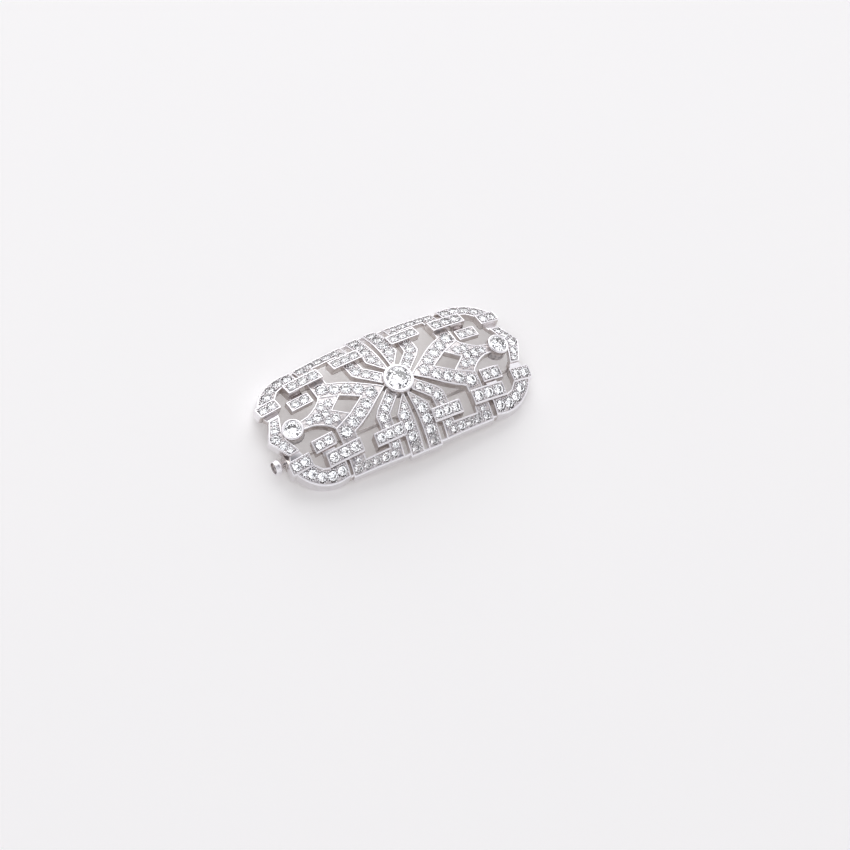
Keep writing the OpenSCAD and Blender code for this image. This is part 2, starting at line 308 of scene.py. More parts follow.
class Casting:
    """Collects the points and faces of one piece, in millimetres, and makes its object."""

    def __init__(self) -> None:
        """Starts empty."""
        self.points: list[Array] = []
        self.depths: list[Array] = []
        self.faces: list[list[int]] = []
        self.count = 0

    def add(self, points: Array, faces: list[Array], depth: float | Array = 0.0) -> None:
        """Adds one closed shell.

        Args:
            points: Its points, one row each.
            faces: Arrays of point numbers, one row a face.
            depth: How deep each point lies under the rims, from 0 to 1, which sets the painted shade there.
        """
        for group in faces:
            self.faces += (group + self.count).tolist()
        self.points.append(points)
        self.depths.append(np.broadcast_to(depth, len(points)))
        self.count += len(points)

    def turn(self, rows: Array, steps: int, closed: bool, axes: Array, at: Array) -> None:
        """Adds a turned shell.

        A point is (r cos a, r sin a, z) for each row (r, z) of the profile and each angle a.

        Args:
            rows: Its profile, rows of radius, height and depth mask.
            steps: Angles in a full turn.
            closed: Whether the profile closes on itself; otherwise its two ends are capped.
            axes: Matrix whose third column is the direction of its axis.
            at: Its origin.
        """
        ways = circle(steps)
        points = np.concatenate([rows[:, None, :1] * ways, rows[:, None, 1:2] + 0 * ways[:, :1]], axis=-1)
        faces = [strip_faces(len(rows), steps, closed)]
        if not closed:
            last = (len(rows) - 1) * steps
            faces += [np.arange(steps)[None, ::-1], (last + np.arange(steps))[None, :]]
        self.add(points.reshape(-1, 3) @ axes.T + at, faces, np.repeat(rows[:, 2], steps))

    def slab(self, outline: Array, low: float, high: float, axes: Array, at: Array,
             bevel: float = 0.05, depth: float = 0.6) -> None:
        """Adds a flat piece with softened edges.

        Args:
            outline: Its closed outline in its own plane.
            low: Where it starts across that plane.
            high: Where it ends.
            axes: Matrix whose columns are its plane's two directions and the third across it.
            at: Its origin.
            bevel: Width of the softened edges.
            depth: Its depth mask.
        """
        rings = [(bevel, low), (0.0, low + bevel), (0.0, high - bevel), (bevel, high)]
        loops = [np.column_stack([mitred(outline, inset), np.full(len(outline), z)]) for inset, z in rings]
        cap = filled([loops[0][:, :2]])
        faces = [strip_faces(4, len(outline)), cap, cap + 3 * len(outline)]
        self.add(np.vstack(loops) @ axes.T + at, faces, depth)

    def make(self, name: str, material: Material, sharp: float = 35.0) -> bpy.types.Object:
        """Makes the object, with its faces turned outwards.

        Args:
            name: Name of the piece.
            material: Its finish.
            sharp: Angle in degrees over which an edge stays sharp.

        Returns:
            The new object, at the origin.
        """
        mesh = bpy.data.meshes.new(name)
        points = np.vstack(self.points) * MM
        mesh.from_pydata(points.tolist(), [], self.faces, shade_flat=False)
        mesh.attributes.new("depth", "FLOAT", "POINT").data.foreach_set(
            "value", np.hstack(self.depths).astype(np.float32)
        )
        work = bmesh.new()
        work.from_mesh(mesh)
        bmesh.ops.recalc_face_normals(work, faces=work.faces)
        work.to_mesh(mesh)
        work.free()
        mesh.set_sharp_from_angle(angle=math.radians(sharp))
        mesh.materials.append(material)
        return placed(name, mesh, np.eye(4))


# Chart of the pattern. Outlines run counter-clockwise, and where two bands meet, one reaches a rim's width
# under the other.


def arc(centre: Pair, r: float, start: float, end: float, steps: int) -> Corners:
    """Points of a circle's arc between two angles in degrees."""
    a = np.radians(np.linspace(start, end, steps + 1))
    return [(centre[0] + r * math.cos(t), centre[1] + r * math.sin(t)) for t in a]


def over_axis(half: Corners) -> Corners:
    """A half outline over the long axis, closed by its mirror image."""
    return half + [(x, -y) for x, y in reversed(half) if y != 0]


def both_ways(half: list[Triple]) -> Array:
    """The upper half of a turned profile, with its mirror image below it."""
    return np.array([(r, -z, mask) for r, z, mask in reversed(half)] + half)


def box(x0: float, x1: float, y0: float, y1: float) -> Corners:
    """A rectangle between two places along and two across."""
    return [(x0, y0), (x1, y0), (x1, y1), (x0, y1)]


@dataclass(frozen=True)
class Band:
    """One band of the openwork: its outline on the chart, its height over the dome and its section."""

    outline: Corners
    rise: float
    mirror: Mirror = Mirror.QUARTERS
    setting: Setting = Setting.CHANNEL
    pitch: float = 0.45
    rim_w: float = 0.3
    bed_d: float = 0.14
    seat_d: float = 0.56
    seat_steps: int = 16
    seat_play: float = 0.07
    web_w: float = 0.015
    hole_share: float = 0.54
    back_inset: float = 0.04
    back_bevel: float = 0.05
    rounding: float = 0.14
    rounding_loss: float = 0.4
    least_rounding: float = 0.03
    wall_rings: int = 5
    rim_shade: float = 0.3

    def counts(self) -> list[int]:
        """Points that each edge gets between its rounded corners."""
        length = np.linalg.norm(np.roll(self.outline, -1, axis=0) - np.array(self.outline), axis=1)
        return [max(1, int(round(v / self.pitch))) for v in length]

    def section(self) -> list[Triple]:
        """The profile carried round the outline, from the wall inwards over a rounded rim to the bed.

        Returns:
            Rows of inset from the outline, height over the rims and depth mask, which sets the painted shade.
        """
        rows = [(0.0, -0.6, 0.6), (0.0, -0.16, 0.45), (0.015, -0.085, 0.15), (0.05, -0.033, 0.0),
                (0.1, -0.008, 0.0), (0.15, 0.0, 0.0)]
        if self.setting is Setting.PLAIN:
            return rows
        w = self.rim_w
        return rows + [(w - 0.1, -0.008, 0.0), (w - 0.05, -0.035, 0.1), (w - 0.01, -0.09, 0.6),
                       (w + 0.02, -self.bed_d, 0.85)]

    def build(self, casting: Casting, stones: Array) -> None:
        """Adds the band and its mirror images to the casting.

        Args:
            casting: The piece that the band is part of.
            stones: Stones of the quarter, rows of x, y, diameter and rise; those inside get open seats.
        """
        corners, counts = np.array(self.outline), self.counts()
        under = traced(mitred(corners, self.back_inset), counts, self.rounding)
        edge = traced(corners, counts, self.rounding)
        rings = [DOME.on_back(under), DOME.on_back(edge, self.back_bevel)]
        depths = [0.45, 0.55]
        for inset, drop, depth in self.section():
            rounding = max(self.rounding - self.rounding_loss * inset, self.least_rounding)
            inner = traced(mitred(corners, inset), counts, rounding)
            rings.append(DOME.on_front(inner, self.rise + drop))
            depths.append(depth)
        rows, columns = len(rings), len(under)
        seats = self.seats(inner, stones)
        # The seats get high depth masks, so painted shade rings each stone.
        levels = [(1.0, -self.bed_d, 0.75), (0.95, -self.bed_d - 0.05, 0.8),
                  (self.hole_share, -self.seat_d, 1.0)]
        for share, drop, depth in levels:
            rings += [DOME.on_front(at + share * ring, self.rise + drop) for at, ring in seats]
            depths += [depth] * len(seats)
        holes = [at + self.hole_share * ring for at, ring in seats]
        rings += [DOME.on_back(hole) for hole in holes]
        depths += [1.0] * len(seats)
        lengths = [len(ring) for ring in rings]
        spans = np.split(np.arange(sum(lengths)), np.cumsum(lengths)[:-1])
        tubes = [spans[rows + k::len(seats)] for k in range(len(seats))]
        low = np.hstack([spans[0], *[tube[-1] for tube in tubes]])
        high = np.hstack([spans[rows - 1], *[tube[0] for tube in tubes]])
        faces = [strip_faces(rows, columns), low[filled([under, *holes])],
                 high[filled([inner, *[at + ring for at, ring in seats]])]]
        faces += [np.hstack(tube)[strip_faces(len(tube), self.seat_steps)] for tube in tubes]
        points, depth, wall = np.vstack(rings), np.repeat(depths, lengths), self.wall_rings * columns
        # Walls on the plaque's outline get less painted shade.
        depth[:wall] *= np.where(DOME.at_rim(points[:wall]), self.rim_shade, 1.0)
        for sx, sy in self.mirror.value:
            image = points * [sx, sy, 1.0]
            image[:, 0] += DOME.shift_x * (1 - sx)
            casting.add(DOME.relieved(image), faces, depth)

    def seats(self, inner: Array, stones: Array) -> list[tuple[Array, Array]]:
        """Seats of the stones in this band, each as wide as its neighbours and the rim allow.

        Args:
            inner: The bed's outline.
            stones: Rows of x, y, diameter and rise.

        Returns:
            The middle of each seat and its rim as a ring round that middle.
        """
        if self.setting is Setting.PLAIN:
            return []
        every = stones
        if self.mirror is Mirror.HALVES:
            every = np.vstack([stones, stones[stones[:, 1] > 0] * [1, -1, 1, 1]])
        side = np.roll(inner, -1, axis=0) - inner
        found = []
        for x, y, d, _ in every:
            at = np.array([x, y])
            if within(inner, at[None])[0]:
                share = np.clip(np.sum((at - inner) * side, axis=1) / np.sum(side**2, axis=1), 0, 1)
                rim = np.linalg.norm(inner + side * share[:, None] - at, axis=1).min()
                apart = np.linalg.norm(every[:, :2] - at, axis=1)
                others = apart > 0
                free = (apart[others] * d / (d + every[others, 2])).min()
                r = min(d / 2 + self.seat_play, rim - self.web_w, free - self.web_w)
                found.append((at, r * circle(self.seat_steps)))
        return found


BANDS = {
    "split_bar": Band([(0.24, 2.4), (0.75, 2.45), (2.95, 5.2), (2.95, 11.5), (0.42, 11.5)], 0.0),
    "leaf": Band([(2.4, 0.41), (5.6, 3.16), (6.3, 4.1), (6.35, 6.8), (3.95, 6.8), (3.85, 4.6),
        (1.35, 2.28)], -0.1),
    "side_bar": Band(box(2.65, 8.1, 6.5, 8.6), 0.5),
    "border": Band([(3.95, 8.3), (6.1, 8.3), (6.1, 9.05), (10.35, 9.05), (10.35, 8.0), (13.15, 8.0),
        (13.15, 10.75), (3.95, 11.12)], 0.0),
    "long_bar": Band(box(10.35, 16.6, 6.05, 8.3), 0.7),
    "short_bar": Band(box(13.75, 17.6, 3.0, 5.2), -0.2),
    "corner_bar": Band([(18.8, 4.5), (22.2, 4.5), (22.5, 4.8), (22.5, 6.5), (22.2, 6.8), (18.8, 6.8)], 0.5),
    "corner_piece": Band([(13.75, 8.0), (16.6, 8.0), (17.7, 7.65), (18.8, 6.5),
        *arc(CORNER_AT, CORNER_R, 25.5, 90.0, 12), (13.75, 10.45)], 0.4),
    "arrow": Band(over_axis([(13.15, 3.05), (13.15, 6.35), (10.35, 6.35), (10.35, 4.85), (8.7, 4.15),
        (7.0, 3.2), (5.0, 1.78), (2.35, 0.0)]) + [(9.85, -1.72), (7.05, 0.0), (9.85, 1.72)],
        0.0, Mirror.HALVES),
    "chevron": Band(over_axis([(17.9, 0.8), (16.2, 1.0), (15.2, 1.4), (14.3, 1.95), (13.4, 2.7),
        (13.05, 3.32), (9.6, 1.93), (12.07, 0.0)]), -0.015, Mirror.HALVES),
    "end_band": Band(over_axis([(23.55, 0.0), (21.65, 3.5), (19.75, 3.5), (20.25, 2.2), (20.75, 0.9)]),
        -0.01, Mirror.HALVES),
    "end_link": Band([(21.5, 3.3), (22.0, 4.8), (19.2, 4.8), (19.8, 3.3)], -0.4, setting=Setting.PLAIN),
    "split_bridge": Band(box(-0.6, 0.6, 11.1, 11.45), -0.15, Mirror.SIDES, Setting.PLAIN, rounding=0.05),
    "border_bridge": Band(box(2.8, 4.1, 10.76, 11.08), -0.15, setting=Setting.PLAIN, rounding=0.05),
    "corner_bridge": Band(box(13.0, 13.9, 10.1, 10.42), -0.15, setting=Setting.PLAIN, rounding=0.05),
    "web": Band(box(14.2, 16.4, 5.0, 6.2), -0.8, setting=Setting.PLAIN),
}

# Rows of small stones in one quarter: the band's rise, then x, y and diameter of each stone in turn.
ROWS = [
    (0.0, [(1.13, 4.32, 1.0), (1.66, 5.64, 1.6), (1.68, 7.36, 1.6), (1.68, 8.98, 1.6), (1.68, 10.5, 1.6)]),
    (0.5, [(3.8, 7.55, 1.5), (5.4, 7.55, 1.5), (7.0, 7.55, 1.5)]),
    (-0.1, [(2.9, 2.24, 1.4), (4.06, 3.36, 1.4), (5.12, 4.68, 1.5), (5.2, 5.98, 0.8)]),
    (0.0, [(5.0, 9.1, 1.1), (5.6, 10.1, 1.0), (7.1, 10.03, 1.42), (8.72, 9.98, 1.42), (10.36, 9.95, 1.4),
           (12.05, 9.86, 1.42), (11.7, 8.85, 0.8)]),
    (0.0, [(5.0, 0.0, 1.7), (6.6, 1.42, 1.65), (8.25, 2.38, 1.7), (9.95, 3.25, 1.7), (11.75, 4.2, 1.75)]),
    (0.0, [(12.15, 1.4, 1.25), (13.5, 1.38, 1.2)]),
    (0.0, [(13.35, 0.0, 1.2), (14.85, 0.0, 1.4), (16.2, 0.0, 1.05)]),
    (0.5, [(19.9, 5.65, 1.5), (21.45, 5.65, 1.48)]),
    (-0.2, [(14.87, 4.1, 1.45), (16.47, 4.1, 1.45)]),
    (0.7, [(11.6, 7.18, 1.65), (13.5, 7.18, 1.65), (15.4, 7.18, 1.65)]),
    (0.4, [(14.88, 9.3, 1.55), (16.6, 9.3, 1.6), (18.25, 8.75, 1.55), (19.55, 7.75, 1.55),
           (20.66, 7.23, 0.7)]),
    (0.0, [(22.25, 0.0, 1.5), (21.68, 1.52, 1.35), (21.08, 2.66, 1.0)]),
]


def quarter_stones() -> Array:
    """Stones of one quarter, rows of x, y, diameter and rise, each once."""
    return np.array([(x, y, d, rise) for rise, row in ROWS for x, y, d in row])


# Finishes


@dataclass(frozen=True)
class Sockets:
    """Places nodes and links in one node tree."""

    tree: Tree

    def feed(self, node: Node, feeds: Feeds) -> None:
        """Gives a node's inputs their values.

        Args:
            node: The node.
            feeds: For the name or number of an input, another socket, a number, or three numbers.
        """
        for key, value in feeds.items():
            target = node.inputs[key]
            if isinstance(value, Socket):
                self.tree.links.new(value, target)
            else:
                target.default_value = (*value, 1.0) if target.type == "RGBA" else value

    def node(self, kind: str, feeds: Feeds | None = None, **values: object) -> Node:
        """A new shader node.

        Args:
            kind: Its type, without the word ShaderNode.
            feeds: Values of its inputs.
            values: Its properties.

        Returns:
            The node.
        """
        made = self.tree.nodes.new("ShaderNode" + kind)
        for key, value in values.items():
            setattr(made, key, value)
        self.feed(made, feeds or {})
        return made

    def maths(self, operation: str, a: object, b: object) -> Socket:
        """A Math node on two sockets or numbers."""
        return self.node("Math", {0: a, 1: b}, operation=operation).outputs[0]

    def mix(self, mask: Socket, under: object, over: object) -> Socket:
        """One colour over another, each a socket or three numbers, by a mask."""
        feeds = {"Factor": mask, "A": under, "B": over}
        return self.node("Mix", feeds, data_type="RGBA").outputs["Result"]

    def smooth(self, value: Socket, start: float, end: float) -> Socket:
        """A soft step that is 0 where the value is at its start and 1 at its end."""
        feeds = {"Value": value, "From Min": start, "From Max": end}
        return self.node("MapRange", feeds, interpolation_type="SMOOTHSTEP").outputs["Result"]

    def noise(self, place: Socket, scale: object, detail: float) -> Socket:
        """A noise texture's value at a place."""
        feeds = {"Vector": place, "Scale": scale, "Detail": detail}
        return self.node("TexNoise", feeds).outputs["Fac"]

    def ramp(self, value: Socket, stops: list[tuple[float, Triple]]) -> Socket:
        """A colour ramp.

        Args:
            value: What it is read at.
            stops: Its positions and colours.

        Returns:
            The colour.
        """
        made = self.node("ValToRGB", {"Fac": value})
        own = made.color_ramp.elements
        for position, _ in stops[1:-1]:
            own.new(position)
        for stop, (position, colour) in zip(own, stops):
            stop.position, stop.color = position, (*colour, 1.0)
        return made.outputs["Color"]


def new_group(name: str, inputs: dict[str, float], outputs: tuple[str, ...]) -> tuple[Sockets, Node, Node]:
    """A new shader group.

    Args:
        name: Its name.
        inputs: Its number inputs with their defaults.
        outputs: Its number outputs.

    Returns:
        Its nodes, and the two that stand for its inputs and outputs.
    """
    group = bpy.data.node_groups.new(name, "ShaderNodeTree")
    for label, value in inputs.items():
        made = group.interface.new_socket(label, in_out="INPUT", socket_type="NodeSocketFloat")
        made.default_value = value
    for label in outputs:
        group.interface.new_socket(label, in_out="OUTPUT", socket_type="NodeSocketFloat")
    return Sockets(group), group.nodes.new("NodeGroupInput"), group.nodes.new("NodeGroupOutput")


@dataclass(frozen=True)
class HandWorkAndShade:
    """Hand work on metal: soft waves, fine scratches and small cuts on the beds, with painted shade: a warm
    brown in the recesses and a grey, broken up by the cuts, in the deepest places.
    """

    wave_scale: float = 1200.0
    wave_h: float = 0.25
    scratch_scale: float = 9000.0
    scratch_h: float = 0.03
    scratch_dull: float = 0.16
    cut_scale: float = 2600.0
    bed_range: Pair = (0.6, 0.72)
    bed_dull: float = 0.2
    # The fields from here on set the painted shade: how much less the beds get, how even it is in the
    # recesses, and where and how strongly the deepest places turn grey.
    bed_less_shade: float = 0.4
    recess_shade_even: float = 0.45
    deep_shade_from: float = 0.34
    deep_shade_gain: float = 2.4

    def group(self) -> Tree:
        """The effect as a node group.

        Returns:
            A group that gives a height, a roughness, a mask of warm painted shade in the recesses and a mask
            of grey painted shade in the deepest places.
        """
        scales = {"Wave Scale": self.wave_scale, "Scratch Scale": self.scratch_scale,
                  "Cut Scale": self.cut_scale, "Recess Shade": 0.6}
        s, start, end = new_group("polish_wear_and_shade", scales, ("Height", "Roughness", "Recess Shade Mask", "Deep Shade Mask"))
        place = s.node("TexCoord").outputs["Object"]
        waves = s.noise(place, start.outputs["Wave Scale"], 1.0)
        scratches = s.noise(place, start.outputs["Scratch Scale"], 2.0)
        feeds = {"Vector": place, "Scale": start.outputs["Cut Scale"]}
        cuts = s.node("TexVoronoi", feeds, feature="SMOOTH_F1").outputs["Distance"]
        depth = s.node("Attribute", attribute_name="depth").outputs["Fac"]
        bed = s.smooth(depth, *self.bed_range)
        graving = s.maths("MULTIPLY", bed, cuts)
        polish = s.maths("ADD", s.maths("MULTIPLY", waves, self.wave_h),
                         s.maths("MULTIPLY", scratches, self.scratch_h))
        dull = s.maths("ADD", s.maths("MULTIPLY", scratches, self.scratch_dull),
                       s.maths("MULTIPLY", bed, self.bed_dull))
        # Painted shade: walls and seats darken by their depth mask, beds less so, and the deepest places turn
        # grey where the cuts' pattern rises over a threshold.
        wall = s.maths("SUBTRACT", depth, s.maths("MULTIPLY", bed, self.bed_less_shade))
        recess_shade = s.maths("MULTIPLY", s.maths("MULTIPLY", wall, start.outputs["Recess Shade"]),
                       s.maths("ADD", waves, self.recess_shade_even))
        # Grey painted shade in the deepest places, where the cuts' pattern is high.
        crevice = s.maths("MAXIMUM", s.maths("SUBTRACT", graving, self.deep_shade_from), 0.0)
        crevice = s.maths("MINIMUM", s.maths("MULTIPLY", crevice, self.deep_shade_gain), 1.0)
        s.feed(end, {"Height": s.maths("ADD", graving, polish), "Roughness": dull, "Recess Shade Mask": recess_shade,
                     "Deep Shade Mask": crevice})
        return s.tree


def tint_group() -> Tree:
    """Faint differences of tint from stone to stone.

    Returns:
        A group that gives a mask that is even over each stone.
    """
    s, start, end = new_group("stone_tint", {"Cell Scale": 620.0}, ("Mask",))
    place = s.node("TexCoord").outputs["Object"]
    cells = s.node("TexVoronoi", {"Vector": place, "Scale": start.outputs["Cell Scale"]})
    s.feed(end, {"Mask": cells.outputs["Color"]})
    return s.tree


def new_finish(name: str, feeds: Feeds) -> tuple[Material, Sockets, Node]:
    """A new material.

    Args:
        name: Its name.
        feeds: Values of its Principled shader.

    Returns:
        The material, its nodes and that shader.
    """
    made = bpy.data.materials.new(name)
    made.use_nodes = True
    s, shader = Sockets(made.node_tree), made.node_tree.nodes["Principled BSDF"]
    s.feed(shader, feeds)
    return made, s, shader


@dataclass(frozen=True)
class Silver:
    """Polished silver with a white rhodium finish, with painted shade in its recesses."""

    name: str
    bright: Triple = (0.92, 0.91, 0.935)
    # The next two tones are painted shade: warm brown in the recesses, grey in the deepest places.
    recess_shade: Triple = (0.34, 0.27, 0.225)
    crevice: Triple = (0.3, 0.3, 0.33)
    recess_shade_share: float = 1.0
    roughness: float = 0.07
    bump: float = 0.35
    bump_h: float = 0.00005

    def material(self, wear_and_shade: Tree) -> Material:
        """The finish as a material.

        Args:
            wear_and_shade: The group for hand work and painted shade.

        Returns:
            The new material.
        """
        made, s, shader = new_finish(self.name, {"Metallic": 1.0})
        group = s.node("Group", {"Recess Shade": self.recess_shade_share}, node_tree=wear_and_shade)
        # Painted shade in the base colour: warm brown by the recess mask, then grey by the deepest-places
        # mask.
        tone = s.mix(group.outputs["Recess Shade Mask"], self.bright, self.recess_shade)
        bump = s.node("Bump", {"Strength": self.bump, "Distance": self.bump_h,
                                         "Height": group.outputs["Height"]})
        s.feed(shader, {"Base Color": s.mix(group.outputs["Deep Shade Mask"], tone, self.crevice),
                        "Roughness": s.maths("ADD", group.outputs["Roughness"], self.roughness),
                        "Normal": bump.outputs["Normal"]})
        return made


@dataclass(frozen=True)
class Brilliant:
    """Clear cut stone."""

    name: str
    cool: Triple = (0.97, 0.985, 1.0)
    warm: Triple = (1.0, 0.985, 0.965)
    ior: float = 2.42

    def material(self, tint: Tree) -> Material:
        """The finish as a material.

        Args:
            tint: The group for tint differences.

        Returns:
            The new material.
        """
        feeds = {"Metallic": 0.0, "Roughness": 0.0, "IOR": self.ior, "Transmission Weight": 1.0}
        made, s, shader = new_finish(self.name, feeds)
        group = s.node("Group", node_tree=tint)
        s.feed(shader, {"Base Color": s.mix(group.outputs["Mask"], self.cool, self.warm)})
        return made


# Pieces


def carry(piece: bpy.types.Object, slot: str, *nodes: str) -> None:
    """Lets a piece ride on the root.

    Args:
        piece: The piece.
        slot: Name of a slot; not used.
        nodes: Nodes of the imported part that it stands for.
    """
    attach(piece, "root")
    if nodes:
        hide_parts(*nodes)
    log.info("%s: %d faces", piece.name, len(piece.data.polygons))


@dataclass(frozen=True)
class Collet:
    """The cup of a main stone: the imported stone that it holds, its place on the long axis and its sizes."""

    node: str
    x: float
    rise: float
    stone_d: float
    wall: float
    height: float = 2.35
    play: float = 0.05
    back_share: float = 0.5
    steps: int = 72

    def build(self, casting: Casting) -> None:
        """Adds the cup, turned from its section, which ends in a rolled lip.

        Args:
            casting: The piece that it is part of.
        """
        r, foot = self.stone_d / 2, -self.height
        out, back = r + self.play + self.wall, r * self.back_share
        # The third column is the depth mask: painted shade low on the cup's wall and deep in its seat.
        rows = np.array([
            (back, foot, 0.9), (out - 0.1, foot, 0.9), (out - 0.03, foot + 0.1, 0.9),
            (out - 0.03, -0.5, 0.6), (out - 0.01, -0.3, 0.45), (out - 0.05, -0.16, 0.1),
            (out - 0.12, -0.05, 0.0), (out - 0.24, 0.0, 0.0), (r + 0.1, -0.01, 0.0), (r, -0.05, 0.1),
            (r - 0.05, -0.09, 0.3), (r + 0.04, -0.13, 0.6), (r + self.play, -0.25, 0.9),
            (back, -0.25 - (r - back) * 0.86, 1.0)])
        centre, axes = DOME.seat(self.x, 0.0, self.rise)
        casting.turn(rows, self.steps, True, axes, centre)


COLLETS = (Collet("centre_stone", 0.0, 0.8, 4.1, 0.5),
           Collet("left_end_stone", -19.4, 0.55, 2.9, 0.37),
           Collet("right_end_stone", 19.4, 0.55, 2.9, 0.37))


@dataclass(frozen=True)
class Fittings:
    """What is soldered under the plaque: the hinge's ears with their rivet, and the catch's saddle."""

    top: float = 2.7
    ear_r: float = 0.9
    ear_t: float = 0.5
    ear_gap: float = 0.86
    rivet_r: float = 0.3
    saddle_w: float = 2.3
    saddle_span: Pair = (-22.2, -20.3)
    saddle_foot: float = -0.9
    slit_w: float = 0.24

    def build(self, casting: Casting) -> None:
        """Adds the hinge's ears and rivet, and the saddle, a block with a slit bore for the tube.

        Args:
            casting: The piece that they are part of.
        """
        near, neck, at = self.ear_gap / 2, self.top - PIN.z, PIN.at(PIN.hinge_x)
        far = near + self.ear_t
        ear = arc((0.0, 0.0), self.ear_r, 180.0, 360.0, 14) + [(self.ear_r, neck), (-self.ear_r, neck)]
        for low, high in ((near, far), (-far, -near)):
            casting.slab(np.array(ear), low, high, ROUND_RIVET, at)
        head = [(self.rivet_r + out, far + up, 0.3)
                for out, up in ((0.0, -0.02), (0.06, 0.0), (0.0, 0.08), (-0.14, 0.14))]
        casting.turn(both_ways(head), 24, False, ROUND_RIVET, at)
        half, slit, foot = self.saddle_w / 2, self.slit_w / 2, self.saddle_foot
        bore = arc((0.0, 0.0), PIN.tunnel_r, 262.0, -82.0, 30)
        block = np.array([(-half, foot), (-slit, foot), *bore, (slit, foot), (half, foot), (half, neck),
                          (-half, neck)])
        casting.slab(block, *self.saddle_span, ACROSS_PIN, PIN.at(), 0.03)


@dataclass(frozen=True)
class Openwork:
    """The casting: bands, bridges, webs and collets, with the fittings soldered under it."""

    finish: Material
    fittings: Fittings = Fittings()

    def build(self) -> None:
        """Builds the whole casting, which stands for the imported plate."""
        casting, stones = Casting(), quarter_stones()
        for band in BANDS.values():
            band.build(casting, stones)
        for collet in COLLETS:
            collet.build(casting)
        self.fittings.build(casting)
        carry(casting.make("openwork", self.finish), "silver", "plate")


@dataclass(frozen=True)
class Beads:
    """Grains raised from the metal, that hold the small stones."""

    finish: Material
    grain_r: float = 0.16
    sink: float = 0.04
    sharp: float = 50.0
    step: float = 0.06
    margin: float = 0.06
    nearest: Pair = (0.07, 0.3)
    apart: float = 0.36
    reach: float = 1.5

    def places(self, band: Band, stones: Array) -> Array:
        """Where the grains stand in one band.

        A fine grid is laid over the bed. A place counts when it is just clear of every stone and at most
        a short way from its second nearest one. The tightest crevice is filled first, and no two overlap.

        Args:
            band: The band.
            stones: Rows of x, y, diameter and rise of the stones round it.

        Returns:
            Rows of x and y.
        """
        inner = mitred(np.array(band.outline), band.rim_w + self.margin)
        low, high = inner.min(axis=0), inner.max(axis=0)
        if band.mirror is Mirror.HALVES:
            low[1] = 0.0
        lines = [np.arange(a, b, self.step) for a, b in zip(low, high)]
        grid = np.stack(np.meshgrid(*lines), axis=-1).reshape(-1, 2)
        grid = grid[within(inner, grid)]
        apart = np.linalg.norm(grid[:, None] - stones[None, :, :2], axis=2)
        clear = np.sort(apart - stones[None, :, 2] / 2, axis=1)
        least, most = self.nearest
        fit = (clear[:, 0] > least) & (clear[:, 0] < most) & (clear[:, 1] < self.reach)
        grid, order = grid[fit], np.argsort(clear[fit, 0] + clear[fit, 1])
        found: list[Array] = []
        for spot in grid[order]:
            if all(math.dist(spot, other) > self.apart for other in found):
                found.append(spot)
        return np.array(found).reshape(-1, 2)

    def build(self) -> None:
        """Builds every grain as a small dome of eight sides."""
        # The masks in the third column paint shade round each grain's foot.
        rows = np.array([(0.95, -1.0, 1.0), (1.0, -0.1, 0.9), (0.8, 0.52, 0.05), (0.38, 0.84, 0.0)])
        rows[:, :2] *= self.grain_r
        stones = quarter_stones()
        every = np.unique(np.vstack([stones * [1, side, 1, 1] for side in (1, -1)]), axis=0)
        casting = Casting()
        for band in (band for band in BANDS.values() if band.setting is Setting.CHANNEL):
            for x, y in self.places(band, every):
                for sx, sy in Mirror.QUARTERS.value:
                    centre, axes = DOME.seat(sx * x, sy * y, band.rise - self.sink)
                    casting.turn(rows, 8, False, axes, centre)
        carry(casting.make("beads", self.finish, self.sharp), "silver")


@dataclass(frozen=True)
class Cut:
    """Proportions of a brilliant cut, as shares of the girdle's diameter."""

    table: float = 0.28
    star: float = 0.385
    crown: float = 0.15
    girdle: float = 0.02
    pavilion: float = 0.41
    lower: float = 0.13

    def stone(self) -> tuple[Array, list[Array]]:
        """A stone of diameter 1 with its girdle's upper edge at height 0.

        The kites over the girdle are flat, because a star's tip lies on the line from the table's corner to
        the girdle: z = crown - crown * (x - table) / (1/2 - table). The pavilion's kites are flat likewise.

        Returns:
            Points and faces.
        """
        every = circle(16)
        main, between = every[::2], every[1::2]
        lean = math.cos(math.pi / 8)
        star_z = self.crown * (1 - (self.star * lean - self.table) / (0.5 - self.table))
        lower_z = -self.pavilion + (self.pavilion - self.girdle) * self.lower * lean / 0.5
        rings = ((main, self.table, self.crown), (between, self.star, star_z), (every, 0.5, 0.0),
                 (every, 0.5, -self.girdle), (between, self.lower, lower_z), (main[:1], 0.0, -self.pavilion))
        points = np.vstack([np.column_stack([r * ways, np.full(len(ways), z)]) for ways, r, z in rings])
        i = np.arange(8)
        n = (i + 1) % 8
        faces = [i[None, :], np.stack([i, 8 + i, n], 1), strip_faces(2, 16) + 16]
        for tip, mid, edge in ((i, 8 + i, 16), (np.full(8, 56), 48 + i, 32)):
            left, middle, right = edge + 2 * i, edge + 2 * i + 1, edge + 2 * n
            faces += [np.stack([tip, mid[i - 1], left, mid], 1), np.stack([mid, left, middle], 1),
                      np.stack([mid, middle, right], 1)]
        return points, faces


